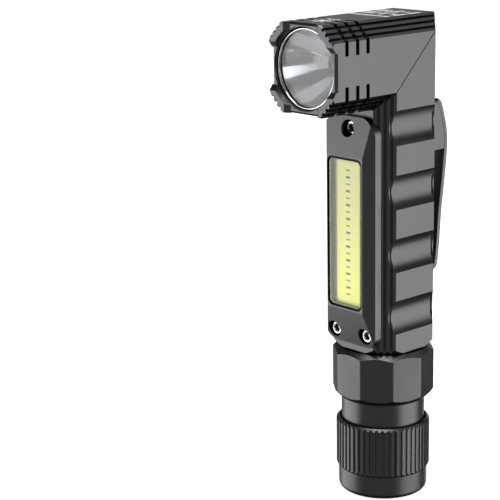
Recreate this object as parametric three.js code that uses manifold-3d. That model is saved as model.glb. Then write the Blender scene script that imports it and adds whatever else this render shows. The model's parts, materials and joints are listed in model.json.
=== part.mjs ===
// Twist-head work flashlight: a square aluminium body with fluted corners, a side lamp on its front,
// a spring clip on its back, a screw-off tail cap, and a head that turns about a 45 degree seam.
// Millimetres, +Z up. Origin: centre of the tail end face. The side lamp faces -Y, the switch faces -X.
// At rest the head is turned to 90 degrees and shines along -Y.
import * as THREE from 'three';
import { mergeVertices } from 'three/addons/utils/BufferGeometryUtils.js';
import Module from 'manifold-3d';

const wasm = await Module();
wasm.setup();

// ---- driving dimensions ----
const GAP = 0.3;                // clearance between neighbouring pieces
const HALF = 13.2;              // half width across the body's flats
const FLAT = 8.3;               // half width of one flat, where the fluted corner starts
const PIVOT_Z = 136.4;          // height of the twist centre, on the body's axis
const BODY_BOTTOM = 47.85;      // lower end of the square body
const BORE_R = 9.6;             // battery bore
const HEAD_LENGTH = 34.4;       // twist centre to the front of the corner tabs
const NOTCH_FLOOR = 33.2;       // twist centre to the floor of the four front notches
const SEAM_WALL = 3.0;          // wall left on each side of the 45 degree seam
const SEAM = GAP / 2;           // half of the seam's gap
const FLUTE = { band: 1.0, width: 0.95, pitch: 1.99, depth: 0.8, count: 3 };
const GROOVE = { pitch: 19.3, top: 117.4, chord: 10.0, depth: 1.5 };
const COLLAR = { sides: 10, vertexR: 15.9, bottom: 31.0, top: 47.4, endR: 14.1 };
const NECK_R = 13.0;            // smooth neck between the collar and the cap
const THREAD_R = 12.2;          // tail thread, shown as a plain cylinder
const CAP = { ribR: 14.65, rootR: 14.15, bandR: 13.9, bandTop: 7.4, top: 23.5, ribs: 50 };
const LAMP = { halfW: 10.2, bottom: 50.1, top: 120.6, proud: 3.7, sideProud: 1.0, plateauHalfW: 7.4 };
const LAMP_FACETS = { upperFrom: 108.8, upperFall: 0.178, lowerFrom: 61.4, lowerFall: 0.26 };
const WINDOW = { halfW: 6.7, bottom: 62.5, top: 108.1, corner: 1.6 };
const LAMP_SCREWS = { top: [0, 117.0], left: [-6.4, 53.7], right: [6.4, 53.7] };
const SCREW = { headR: 2.2, headH: 1.7, shankR: 1.2, socketR: 1.15, socketDepth: 1.1, length: 2.4 };
const LAMP_BOSS = { r: 3.0, back: -11.4, seat: -12.3, wellR: 2.65 };
const CLIP = { halfW: 6.2, thickness: 1.3 };
const CLIP_SCREWS = { z: [110.6, 116.0], seatY: [22.15, 21.55] };
const SWITCH = { z: 105.5, halfY: 7.0, halfZ: 6.6, proud: 1.6 };
const LENS_BORE_R = 12.0;
const HEAD_LEDGE = 15.5;        // floor of the wide head bore, above the twist centre
const PIVOT = { tubeR: 5.0, holeR: 3.0, flangeR: 6.3, nutR: 7.0, nutH: 2.2, pinCircleR: 8.0, pinR: 0.9 };
const FINE = 96;                // sides of the round shapes that show
const RIBBED = 48;              // sides of the cap's plain bands
const ARC_STEPS = 16;           // steps in each quarter circle of the side lamp's outline
const SEGMENTS = 32;            // sides of the round pieces inside
const SMALL = 16;               // sides of the screws and wires' holes
const REACH = 60;               // half size of a cutting block

// ---- solids ----
// A closed three.js geometry as a solid, with its faces pointing out.
function solid(geometry) {
  const bare = new THREE.BufferGeometry();
  bare.setAttribute('position', geometry.getAttribute('position'));
  bare.setIndex(geometry.index);
  const merged = mergeVertices(bare, 1e-4);
  const kept = [];
  for (let i = 0; i < merged.index.count; i += 3) {
    const [a, b, c] = [0, 1, 2].map((n) => merged.index.getX(i + n));
    if (a !== b && b !== c && c !== a) kept.push(a, b, c);
  }
  const vertProperties = merged.attributes.position.array;
  const made = (order) => new wasm.Manifold(new wasm.Mesh({
    numProp: 3, vertProperties, triVerts: new Uint32Array(order),
  }));
  const first = made(kept);
  return first.volume() >= 0 ? first : made(kept.reverse());
}

function geometryOf(shape) {
  const mesh = shape.getMesh();
  const geometry = new THREE.BufferGeometry();
  geometry.setAttribute('position', new THREE.BufferAttribute(mesh.vertProperties, mesh.numProp));
  geometry.setIndex(new THREE.BufferAttribute(mesh.triVerts, 1));
  return geometry;
}

const joined = (...shapes) => shapes.reduce((whole, shape) => whole.add(shape));
const cut = (shape, ...cutters) => cutters.reduce((rest, cutter) => rest.subtract(cutter), shape);

function block(x0, x1, y0, y1, z0, z1) {
  const box = new THREE.BoxGeometry(x1 - x0, y1 - y0, z1 - z0);
  return solid(box.translate((x0 + x1) / 2, (y0 + y1) / 2, (z0 + z1) / 2));
}

// Turned about +Z from [radius, height] points.
function turned(profile, segments = SEGMENTS) {
  const points = profile.map(([r, z]) => new THREE.Vector2(r, z));
  return solid(new THREE.LatheGeometry(points, segments).rotateX(Math.PI / 2));
}

const rod = (r, z0, z1, segments) => turned([[0, z0], [r, z0], [r, z1], [0, z1]], segments);

function ring(inner, outer, z0, z1, segments) {
  return turned([[inner, z0], [outer, z0], [outer, z1], [inner, z1], [inner, z0]], segments);
}

// A ring with a round section, about +Z.
function oRing(r, section, z) {
  const sides = 6;
  const profile = [];
  for (let i = 0; i <= sides; i++) {
    const a = (2 * Math.PI * (i % sides)) / sides;
    profile.push([r + section * Math.cos(a), z + section * Math.sin(a)]);
  }
  return turned(profile, 24);
}

const extruded = (shape, depth, curveSegments = 4) =>
  new THREE.ExtrudeGeometry(shape, { depth, bevelEnabled: false, curveSegments });

const outlineOf = (points) => new THREE.Shape(points.map(([a, b]) => new THREE.Vector2(a, b)));

// An outline in X and Y, extruded upwards.
const upright = (shape, z0, z1) => solid(extruded(shape, z1 - z0).translate(0, 0, z0));

// An outline in X and Z, extruded from yBack towards -Y.
const facing = (shape, yBack, yFront, arcSteps) =>
  solid(extruded(shape, yBack - yFront, arcSteps).rotateX(Math.PI / 2).translate(0, yBack, 0));

// An outline in Y and Z, extruded along X.
function sideways(shape, x0, x1) {
  const toRow = new THREE.Matrix4().makeBasis(
    new THREE.Vector3(0, 1, 0), new THREE.Vector3(0, 0, 1), new THREE.Vector3(1, 0, 0),
  );
  return solid(extruded(shape, x1 - x0).applyMatrix4(toRow).translate(x0, 0, 0));
}

function roundedOutline(halfW, low, high, lowR, highR = lowR) {
  const shape = new THREE.Shape();
  shape.moveTo(-halfW + lowR, low);
  shape.lineTo(halfW - lowR, low);
  shape.absarc(halfW - lowR, low + lowR, lowR, -Math.PI / 2, 0);
  shape.lineTo(halfW, high - highR);
  shape.absarc(halfW - highR, high - highR, highR, 0, Math.PI / 2);
  shape.lineTo(-halfW + highR, high);
  shape.absarc(-halfW + highR, high - highR, highR, Math.PI / 2, Math.PI);
  shape.lineTo(-halfW, low + lowR);
  shape.absarc(-halfW + lowR, low + lowR, lowR, Math.PI, 1.5 * Math.PI);
  return shape;
}

// A six-sided wire along a list of points.
function wire(points, r, stepsPerPoint) {
  const path = new THREE.CatmullRomCurve3(points.map((p) => new THREE.Vector3(...p)));
  const section = new THREE.Shape().absarc(0, 0, r, 0, 2 * Math.PI);
  const steps = (points.length - 1) * stepsPerPoint;
  return solid(new THREE.ExtrudeGeometry(section, { steps, curveSegments: 3, extrudePath: path }));
}

// ---- frames of the slanted parts ----
// Places a solid made about +Z on the twist axis, which leans 45 degrees towards -Y.
const onTwistAxis = (shape, centreZ) => shape.rotate([45, 0, 0]).translate([0, 0, centreZ]);

// Everything more than `offset` above the seam plane.
const aboveSeam = (offset, centreZ) =>
  onTwistAxis(block(-REACH, REACH, -REACH, REACH, offset, offset + 2 * REACH), centreZ);

// ---- groups and materials ----
const flashlight = new THREE.Group();
const head = new THREE.Group();
head.position.set(0, 0, PIVOT_Z);
head.quaternion.setFromAxisAngle(new THREE.Vector3(0, -Math.SQRT1_2, Math.SQRT1_2), Math.PI);
flashlight.add(head);

const FINISH = {
  anodised: { color: 0x4a4a4c, roughness: 0.4, metalness: 0.7 },
  darkAnodised: { color: 0x2c2c2e, roughness: 0.4, metalness: 0.7 },
  chrome: { color: 0xe6e6e8, roughness: 0.1, metalness: 1.0 },
  steel: { color: 0x9a9a9c, roughness: 0.3, metalness: 1.0 },
  brass: { color: 0xc9a550, roughness: 0.3, metalness: 1.0 },
  rubber: { color: 0x161616, roughness: 0.8, metalness: 0.0 },
  glass: { color: 0xf4f8fa, roughness: 0.02, metalness: 0.0 },
  phosphor: { color: 0xf0ee9c, roughness: 0.6, metalness: 0.0 },
  board: { color: 0xd8d6de, roughness: 0.4, metalness: 0.2 },
  circuit: { color: 0x1d5a34, roughness: 0.5, metalness: 0.0 },
  component: { color: 0x1a1a1c, roughness: 0.5, metalness: 0.0 },
  cellWrap: { color: 0x2f5f9c, roughness: 0.4, metalness: 0.0 },
  redWire: { color: 0xb02020, roughness: 0.5, metalness: 0.0 },
  blackWire: { color: 0x181818, roughness: 0.5, metalness: 0.0 },
};

function piece(name, finish, shape, parent = flashlight) {
  const material = new THREE.MeshStandardMaterial({ ...FINISH[finish], flatShading: true });
  const mesh = new THREE.Mesh(geometryOf(shape), material);
  mesh.name = name;
  parent.add(mesh);
}

// ---- the square section with three flutes in each corner ----
function squareOutline(half, flat, fluted) {
  const points = [];
  for (let corner = 0; corner < 4; corner++) {
    const turn = (x, y) => {
      const a = (corner * Math.PI) / 2;
      points.push([x * Math.cos(a) - y * Math.sin(a), x * Math.sin(a) + y * Math.cos(a)]);
    };
    const along = (s, inward) => turn(
      half - (s + inward) * Math.SQRT1_2,
      flat + (s - inward) * Math.SQRT1_2,
    );
    turn(half, flat);
    for (let i = 0; fluted && i < FLUTE.count; i++) {
      const from = FLUTE.band + i * FLUTE.pitch;
      along(from, 0);
      along(from, FLUTE.depth);
      along(from + FLUTE.width, FLUTE.depth);
      along(from + FLUTE.width, 0);
    }
    turn(flat, half);
  }
  return outlineOf(points);
}

// ---- body ----
// A round-bottomed groove across a flat: a cylinder along Y, sunk into the flat on one side.
function grooveCutter(side, centreZ) {
  const { chord, depth } = GROOVE;
  const r = (chord * chord / 4 + depth * depth) / (2 * depth);
  const cylinder = rod(r, -REACH / 2, REACH / 2, 64).rotate([90, 0, 0]);
  return cylinder.translate([side * (HALF - depth + r), 0, centreZ]);
}

function bodyShell() {
  const blank = upright(squareOutline(HALF, FLAT, true), BODY_BOTTOM, PIVOT_Z + 2 * HALF);
  const turnedEnd = turned([
    [0, BODY_BOTTOM], [14.1, BODY_BOTTOM], [16.1, BODY_BOTTOM + 2], [16.1, 170], [0, 170],
  ], FINE);
  let body = cut(blank.intersect(turnedEnd), aboveSeam(-SEAM, PIVOT_Z));
  const bore = cut(rod(BORE_R, BODY_BOTTOM - 1, 160), aboveSeam(-SEAM - SEAM_WALL, PIVOT_Z));
  const spigotBore = rod(11.7, BODY_BOTTOM - 1, 57.5);
  body = cut(body, bore, spigotBore);
  for (let i = 0; i < 4; i++) {
    const centreZ = GROOVE.top - i * GROOVE.pitch;
    body = cut(body, grooveCutter(1, centreZ));
    if (i > 1) body = cut(body, grooveCutter(-1, centreZ));
  }
  const stopSlot = ring(PIVOT.pinCircleR - 1.3, PIVOT.pinCircleR + 1.3, -1.9, 1, 32)
    .intersect(block(0, REACH, -REACH, REACH, -5, 5));
  const slotEnds = [-1, 1].map((s) => rod(1.3, -1.9, 1, SMALL).translate([0, s * PIVOT.pinCircleR, 0]));
  const pivotBore = rod(PIVOT.tubeR + 0.15, -8, 1);
  const sealGroove = ring(PIVOT.tubeR, PIVOT.tubeR + 1.1, -1.3, 1);
  body = cut(body, ...[stopSlot, ...slotEnds, pivotBore, sealGroove].map((c) => onTwistAxis(c, PIVOT_Z)));
  for (const [x, z] of Object.values(LAMP_SCREWS)) {
    body = cut(body, frontRod(SCREW.shankR + 0.2, x, z, -8, -15));
    body = cut(body, frontRod(LAMP_BOSS.r + GAP, x, z, LAMP_BOSS.back + GAP, -15));
  }
  const leadHole = frontRod(1.4, 0, 111.6, -8, -15);
  const switchPocket = block(-20, -8, -4.8, 4.8, SWITCH.z - 4.8, SWITCH.z + 4.8);
  const clipHoles = CLIP_SCREWS.z.map((z) => rearRod(1.4, z, 9, 15));
  return cut(body, leadHole, switchPocket, ...clipHoles);
}

// Rods along -Y from yBack to yFront, and along +Y from yIn to yOut.
const frontRod = (r, x, z, yBack, yFront) =>
  rod(r, -yBack, -yFront, SMALL).rotate([90, 0, 0]).translate([x, 0, z]);
const rearRod = (r, z, yIn, yOut) => rod(r, yIn, yOut, SMALL).rotate([-90, 0, 0]).translate([0, 0, z]);

// ---- side lamp ----
// The bezel's front: a flat window frame, a facet falling away at each end, and a bevel down each side.
function lampBezel() {
  const front = -(HALF + LAMP.proud);
  const outline = roundedOutline(LAMP.halfW, LAMP.bottom, LAMP.top, 3.7, 5.4);
  const { upperFrom, upperFall, lowerFrom, lowerFall } = LAMP_FACETS;
  const profile = outlineOf([
    [0, LAMP.bottom - 1],
    [front + lowerFall * (lowerFrom - LAMP.bottom + 1), LAMP.bottom - 1],
    [front, lowerFrom],
    [front, upperFrom],
    [front + upperFall * (LAMP.top + 1 - upperFrom), LAMP.top + 1],
    [0, LAMP.top + 1],
  ]);
  const sideY = -(HALF + LAMP.sideProud);
  const section = outlineOf([
    [-LAMP.halfW - 1, 0], [-LAMP.halfW - 1, sideY + 1], [-LAMP.plateauHalfW, front],
    [LAMP.plateauHalfW, front], [LAMP.halfW + 1, sideY + 1], [LAMP.halfW + 1, 0],
  ]);
  const lips = facing(outline, -11.6, front - 1, ARC_STEPS)
    .intersect(sideways(profile, -REACH, REACH))
    .intersect(upright(section, 0, 200));
  let bezel = cut(lips, upright(squareOutline(HALF + GAP, FLAT + 0.12, false), 0, 200));
  for (const [x, z] of Object.values(LAMP_SCREWS)) {
    bezel = bezel.add(frontRod(LAMP_BOSS.r, x, z, LAMP_BOSS.back, -HALF - GAP - 0.4));
  }
  for (const [x, z] of Object.values(LAMP_SCREWS)) {
    bezel = cut(bezel, frontRod(SCREW.shankR + 0.2, x, z, -10, -20));
    bezel = cut(bezel, frontRod(LAMP_BOSS.wellR, x, z, LAMP_BOSS.seat, -20));
  }
  const window = facing(windowOutline(0), -10, -20, ARC_STEPS);
  const coverRoom = facing(roundedOutline(7.6, 60.3, 110.0, 0.8), -10, -16.15);
  const boardRoom = facing(roundedOutline(7.6, 60.3, 112.4, 0.8), -10, -14.7);
  return cut(bezel, window, coverRoom, boardRoom);
}

const windowOutline = (inset) => roundedOutline(
  WINDOW.halfW - inset, WINDOW.bottom + inset, WINDOW.top - inset, WINDOW.corner - inset,
);

// Socket screw standing along -Y, its head's underside at seatY.
function frontScrew(x, z, seatY) {
  const head = rod(SCREW.headR, 0, SCREW.headH, 24);
  const shank = rod(SCREW.shankR, -SCREW.length, 0.2, SMALL);
  const socket = rod(SCREW.socketR, SCREW.headH - SCREW.socketDepth, SCREW.headH + 1, 6);
  return cut(joined(head, shank), socket).rotate([90, 0, 0]).translate([x, seatY, z]);
}

function sideLamp() {
  piece('cob_bezel', 'anodised', lampBezel());
  const flange = roundedOutline(7.3, 60.6, 109.7, 0.8);
  const pane = facing(windowOutline(GAP), -15.6, -16.7, ARC_STEPS);
  const cover = joined(pane, facing(flange, -15.6, -15.95));
  piece('cob_window', 'glass', cover);
  const seal = cut(facing(flange, -14.6, -15.35), facing(windowOutline(0), -10, -20));
  piece('window_seal', 'rubber', seal);
  piece('cob_board', 'board', facing(roundedOutline(7.3, 60.6, 112.1, 0.6), -13.4, -14.4));
  piece('cob_strip', 'phosphor', facing(roundedOutline(5.3, 63.2, 107.4, 1.0), -14.55, -15.3));
  for (const [place, [x, z]] of Object.entries(LAMP_SCREWS)) {
    piece(`bezel_screw_${place}`, 'chrome', frontScrew(x, z, LAMP_BOSS.seat - 0.2));
  }
}

// ---- clip ----
// The outer line of the clip from its top to its tip, and the block that holds it off the body.
const CLIP_LINE = [
  [17.9, 122.6], [19.3, 121.2], [20.7, 117.1], [21.8, 112.9], [22.1, 109.1], [22.0, 106.6],
];
const CLIP_ARM_LINE = [
  [22.0, 106.2], [20.9, 95.9], [19.7, 87.0], [18.8, 76.5], [17.9, 70.3], [16.4, 68.9], [15.5, 69.2],
];

// The line that runs a given distance inside an outer line of [y, z] points.
const lineInside = (line, distance) => line.map(([y, z], i) => {
  const before = line[Math.max(i - 1, 0)];
  const after = line[Math.min(i + 1, line.length - 1)];
  const along = new THREE.Vector2(after[0] - before[0], after[1] - before[1]).normalize();
  return [y + along.y * distance, z - along.x * distance];
});

const stripOutline = (line, thickness) => outlineOf([...line, ...lineInside(line, thickness).reverse()]);

function clip() {
  const t = CLIP.thickness;
  const screwZ = CLIP_SCREWS.z;
  const hole = (r, z) => rearRod(r, z, 9, 30);
  let plate = sideways(stripOutline(CLIP_LINE, t), -CLIP.halfW, CLIP.halfW);
  const front = lineInside(CLIP_LINE, t + 0.05);
  const blockOutline = outlineOf([
    [HALF + 0.2, front[0][1]], ...front, [HALF + 0.2, front.at(-1)[1]],
  ]);
  let base = sideways(blockOutline, -CLIP.halfW, CLIP.halfW);
  for (const z of screwZ) {
    plate = cut(plate, hole(1.5, z));
    base = cut(base, hole(1.5, z));
  }
  piece('clip_block', 'anodised', base);
  piece('clip_plate', 'anodised', plate);
  piece('clip_arm', 'anodised', sideways(stripOutline(CLIP_ARM_LINE, t), -CLIP.halfW, CLIP.halfW));
  for (const [i, z] of screwZ.entries()) {
    const seat = CLIP_SCREWS.seatY[i];
    const head = turned([[0, 0], [2.1, 0], [2.1, 0.5], [1.2, 1.2], [0, 1.2]], 24);
    const shank = rod(1.2, -(seat - 10.1), 0.2, SMALL);
    const socket = rod(0.8, 0.5, 2, 6);
    const screw = cut(joined(head, shank), socket).rotate([-90, 0, 0]).translate([0, seat, z]);
    piece(`clip_screw_${i === 0 ? 'lower' : 'upper'}`, 'steel', screw);
  }
}

// ---- switch ----
function sideSwitch() {
  const { z, halfY, halfZ, proud } = SWITCH;
  const profile = (half, from, to, slope) => outlineOf([
    [-half, from], [-half + slope, to], [half - slope, to], [half, from],
  ]);
  // Both profiles run outwards along -X: one is drawn across Y, the other along Z.
  const outwards = (shape, length) => solid(extruded(shape, length).translate(0, 0, -length / 2));
  const across = outwards(profile(halfY, HALF + GAP / 2, HALF + proud, 0.8), 4 * halfZ)
    .rotate([0, 0, 90]).translate([0, 0, z]);
  const along = outwards(profile(halfZ, HALF + GAP / 2, HALF + proud, 1.5), 4 * halfY)
    .rotate([90, 0, 0]).rotate([0, -90, 0]).translate([0, 0, z]);
  const frame = cut(across.intersect(along), sideRod(4.4, z, -10, -20));
  piece('switch_bezel', 'anodised', frame);
  piece('switch_seal', 'rubber', cut(sideRod(4.2, z, -11.4, -12.0), sideRod(1.8, z, -11, -13)));
  const button = turned([[0, -1.0], [1.2, -1.0], [1.2, 0], [4.0, 0], [4.0, 1.9], [3.5, 2.4], [0, 2.7]], 32);
  piece('power_button', 'rubber', button.rotate([0, -90, 0]).translate([-13.0, 0, z]));
  piece('tact_switch', 'component', joined(
    block(-10.8, -9.4, -2.2, 2.2, z - 2.2, z + 2.2),
    sideRod(1.2, z, -10.7, -11.1),
  ));
  piece('switch_board', 'circuit', block(-9.2, -8.2, -4.2, 4.2, z - 4.2, z + 4.2));
}

const sideRod = (r, z, xIn, xOut) => rod(r, -xIn, -xOut, 32).rotate([0, -90, 0]).translate([0, 0, z]);

// ---- tail ----
function tailTube() {
  const { sides, vertexR, bottom, top, endR } = COLLAR;
  const corner = Math.PI / sides;
  const polygon = [];
  for (let i = 0; i < sides; i++) {
    const a = -Math.PI / 2 + (2 * i + 1) * corner;
    polygon.push([vertexR * Math.cos(a), vertexR * Math.sin(a)]);
  }
  const collar = upright(outlineOf(polygon), bottom, top).intersect(turned([
    [0, bottom], [endR + 0.2, bottom], [vertexR, bottom + 2.2], [vertexR, top - vertexR + endR],
    [endR, top], [0, top],
  ], FINE));
  const stem = turned([
    [0, 9.5], [THREAD_R - 0.6, 9.5], [THREAD_R, 10.1], [THREAD_R, 21.3], [NECK_R, 21.3],
    [NECK_R, bottom + 0.5], [11.4, bottom + 0.5], [11.4, 56.8], [0, 56.8],
  ], 64);
  const sealGroove = ring(NECK_R - 1.3, NECK_R + 1, 22.2, 23.5);
  const spigotGroove = ring(10.5, 12, 52.0, 53.2);
  return cut(joined(collar, stem), rod(BORE_R, 0, 60), sealGroove, spigotGroove);
}

function tailCap() {
  const { ribR, rootR, bandR, bandTop, top, ribs } = CAP;
  const step = (2 * Math.PI) / ribs;
  const section = [];
  for (let i = 0; i < ribs; i++) {
    for (const [r, share] of [[rootR, -0.5], [ribR, 0]]) {
      const a = (i + share) * step;
      section.push([r * Math.cos(a), r * Math.sin(a)]);
    }
  }
  const knurl = upright(outlineOf(section), bandTop, top).intersect(turned([
    [0, bandTop], [bandR, bandTop], [ribR + 0.1, bandTop + 1.1], [ribR + 0.1, top - 0.9],
    [ribR - 0.8, top], [0, top],
  ], RIBBED));
  const band = turned([
    [0, 0], [bandR - 1.5, 0], [bandR - 0.45, 0.45], [bandR, 1.5], [bandR, bandTop + 0.5], [0, bandTop + 0.5],
  ], RIBBED);
  const inside = turned([
    [0, 1.6], [8.5, 1.6], [8.5, 5.2], [THREAD_R + GAP, 5.2], [THREAD_R + GAP, 20.9], [NECK_R + 0.5, 21.2],
    [NECK_R + 0.5, top + 1], [0, top + 1],
  ]);
  return cut(joined(knurl, band), inside);
}

function tailSpring() {
  const [turns, stepsPerTurn] = [4, 12];
  const [low, high] = [6.9, 11.0];
  const [lowR, highR] = [5.0, 3.2];
  const count = turns * stepsPerTurn;
  const points = [];
  for (let i = 0; i <= count; i++) {
    const share = i / count;
    const a = share * turns * 2 * Math.PI;
    const r = lowR + (highR - lowR) * share;
    points.push([r * Math.cos(a), r * Math.sin(a), low + (high - low) * share]);
  }
  return wire(points, 0.35, 1);
}

function tail() {
  piece('tail_tube', 'darkAnodised', tailTube());
  piece('spigot_seal', 'rubber', oRing(11.15, 0.42, 52.6));
  piece('tail_seal', 'rubber', oRing(NECK_R - 0.5, 0.55, 22.85));
  piece('tail_cap', 'darkAnodised', tailCap());
  piece('tail_magnet', 'steel', rod(8.2, 1.9, 4.9));
  piece('spring_seat', 'brass', rod(8.6, 5.4, 6.3));
  piece('tail_spring', 'steel', tailSpring());
}

// ---- inside the body ----
function cellAndDriver() {
  const cell = turned([
    [0, 12.0], [8.6, 12.0], [9.2, 12.6], [9.2, 75.2], [8.6, 75.9], [3.2, 75.9], [3.2, 77.0], [0, 77.0],
  ]);
  piece('battery_cell', 'cellWrap', cell);
  const contact = turned([[0, 77.4], [2.4, 77.4], [4.2, 79.2], [4.2, 79.6], [0, 79.6]], 24);
  piece('positive_contact', 'brass', contact);
  piece('driver_board', 'circuit', rod(9.2, 79.9, 81.3));
  piece('driver_chip', 'component', block(-6.5, -2.5, -2.5, 2.5, 81.5, 83.0));
  piece('driver_coil', 'component', block(0.5, 6.5, -3, 3, 81.5, 84.8));
  piece('driver_ring', 'brass', ring(7.9, 9.35, 81.6, 83.6));
}

// ---- pivot between body and head ----
// Made about +Z with the seam at z = 0 and placed on the twist axis in the head's own frame.
function pivot() {
  const { tubeR, holeR, flangeR, nutR, nutH, pinCircleR, pinR } = PIVOT;
  const wall = SEAM_WALL + SEAM;
  const tube = joined(
    ring(holeR, tubeR, -wall - nutH - 1.1, wall + 0.6),
    ring(holeR, flangeR, wall + 0.3, wall + 2.3),
  );
  const nut = cut(rod(nutR, -wall - 0.9 - nutH, -wall - 0.9, 6), rod(tubeR + 0.15, -20, 0));
  const washer = ring(tubeR + 0.2, nutR - 0.4, -wall - 0.6, -wall - 0.25);
  const pin = rod(pinR, -1.5, 1.6, SMALL).translate([0, -pinCircleR, 0]);
  const parts = {
    pivot_tube: ['steel', tube], pivot_nut: ['brass', nut], pivot_washer: ['steel', washer],
    stop_pin: ['steel', pin],
  };
  for (const [name, [finish, shape]] of Object.entries(parts)) {
    piece(name, finish, onTwistAxis(shape, 0), head);
  }
  piece('pivot_seal', 'rubber', onTwistAxis(oRing(tubeR + 0.65, 0.4, -0.72), PIVOT_Z));
}

// ---- head, drawn straight with the twist centre at z = 0 ----
function cornerSlots(z) {
  const width = 1.4;
  const inner = upright(squareOutline(HALF - 1.1, FLAT - 0.45, false), -REACH, REACH);
  const slab = cut(block(-20, 20, -20, 20, z - width / 2, z + width / 2), inner);
  const corners = [[1, 1], [-1, 1], [-1, -1], [1, -1]].map(([sx, sy]) => {
    const [x, y] = [sx, sy].map((s) => (s > 0 ? [4.36, 20] : [-20, -4.36]));
    return block(...x, ...y, -REACH, REACH);
  });
  return slab.intersect(joined(...corners));
}

function headShell() {
  const blank = upright(squareOutline(HALF, FLAT, true), -2 * HALF, HEAD_LENGTH);
  const turnedFront = turned([
    [0, -40], [17, -40], [17, HEAD_LENGTH - 2], [15.1, HEAD_LENGTH], [0, HEAD_LENGTH],
  ], FINE);
  let shell = blank.intersect(turnedFront).intersect(aboveSeam(SEAM, 0));
  const lensBore = turned([
    [0, HEAD_LEDGE], [LENS_BORE_R, HEAD_LEDGE], [LENS_BORE_R, HEAD_LENGTH - 2.0], [12.8, HEAD_LENGTH + 0.1],
    [12.8, 50], [0, 50],
  ], FINE);
  const innerRoom = rod(8.6, -30, HEAD_LEDGE + 1).intersect(aboveSeam(SEAM + SEAM_WALL, 0));
  shell = cut(shell, lensBore, innerRoom);
  const tubeHole = rod(PIVOT.tubeR + 0.15, -1, 12);
  const pinHole = rod(PIVOT.pinR + 0.2, -1, 1.9, SMALL).translate([0, -PIVOT.pinCircleR, 0]);
  shell = cut(shell, onTwistAxis(tubeHole, 0), onTwistAxis(pinHole, 0));
  const notch = sideways(outlineOf([
    [-5.5, NOTCH_FLOOR], [-7.3, HEAD_LENGTH + 0.1], [-7.3, 40], [7.3, 40], [7.3, HEAD_LENGTH + 0.1],
    [5.5, NOTCH_FLOOR],
  ]), 0, 20);
  const bevel = facing(outlineOf([
    [HALF - 0.8, NOTCH_FLOOR + 0.1], [HALF + 0.3, NOTCH_FLOOR + 0.1], [HALF + 0.3, NOTCH_FLOOR - 1.1],
  ]), 5.5, -5.5);
  for (let i = 0; i < 4; i++) {
    shell = cut(shell, joined(notch, bevel).rotate([0, 0, 90 * i]));
  }
  return cut(shell, ...[28.9, 24.6, 20.4].map(cornerSlots));
}

function reflector() {
  const [mouthR, mouthZ, throatR, throatZ] = [11.45, 30.6, 3.4, 19.9];
  const count = 7;
  const bowl = [];
  for (let i = 0; i <= count; i++) {
    const r = throatR + ((mouthR - throatR) * i) / count;
    const share = (r * r - throatR * throatR) / (mouthR * mouthR - throatR * throatR);
    bowl.push([r, throatZ + (mouthZ - throatZ) * share]);
  }
  return turned([
    ...bowl, [11.8, mouthZ], [11.8, mouthZ - 1.2], [throatR + 2.6, throatZ], [throatR, throatZ],
  ], FINE);
}

function headInside() {
  piece('lens_ring', 'chrome', turned([
    [11.2, 31.7], [11.8, 31.7], [11.8, 32.1], [11.65, 32.3], [11.35, 32.3], [11.2, 32.1], [11.2, 31.7],
  ], FINE), head);
  piece('lens', 'glass', rod(11.8, 30.85, 31.65, FINE), head);
  piece('lens_seal', 'rubber', ring(11.5, 11.8, 30.65, 30.8), head);
  piece('reflector', 'chrome', reflector(), head);
  const dome = new THREE.SphereGeometry(1.25, 12, 6).translate(0, 0, 19.55);
  piece('led_emitter', 'phosphor', joined(
    block(-1.75, 1.75, -1.75, 1.75, 18.75, 19.5),
    solid(dome).intersect(block(-3, 3, -3, 3, 19.4, 22)),
  ), head);
  piece('led_board', 'board', rod(8.0, 17.55, 18.55), head);
  const wireSlots = [-1, 1].map((s) => block(s * 5 - 0.9, s * 5 + 0.9, -2.4, 1.1, 0, 30));
  piece('heat_sink', 'steel', cut(joined(rod(11.7, 15.8, 17.3), rod(6.6, 12.9, 16)), ...wireSlots), head);
}

// One pair of leads runs through the hollow pivot to the LED board, the other from the driver to the pivot.
function leads() {
  for (const [name, side] of [['positive', 1], ['negative', -1]]) {
    const finish = side > 0 ? 'redWire' : 'blackWire';
    piece(`led_lead_${name}`, finish, wire([
      [side * 1.2, 6.6, -6.6], [side * 1.2, 3, -3], [side * 1.2, 0, 0], [side * 1.2, -4, 4],
      [side * 2.6, -4.5, 8.5], [side * 5, -1.5, 12.2], [side * 5, 0, 17.1],
    ], 0.5, 2), head);
    piece(`driver_lead_${name}`, finish, wire([
      [side * 4.6, 5.4, 85.2], [side * 4.4, 5.6, 100], [side * 2.4, 6.6, 120], [side * 1.2, 7.1, 128.6],
    ], 0.5, 3));
  }
}

sideLamp();
clip();
sideSwitch();
tail();
cellAndDriver();
pivot();
piece('body_shell', 'anodised', bodyShell());
piece('head_shell', 'anodised', headShell(), head);
headInside();
leads();

export default flashlight;
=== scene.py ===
import json
import math

import bmesh
import bpy
from mathutils import Matrix, Vector


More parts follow.
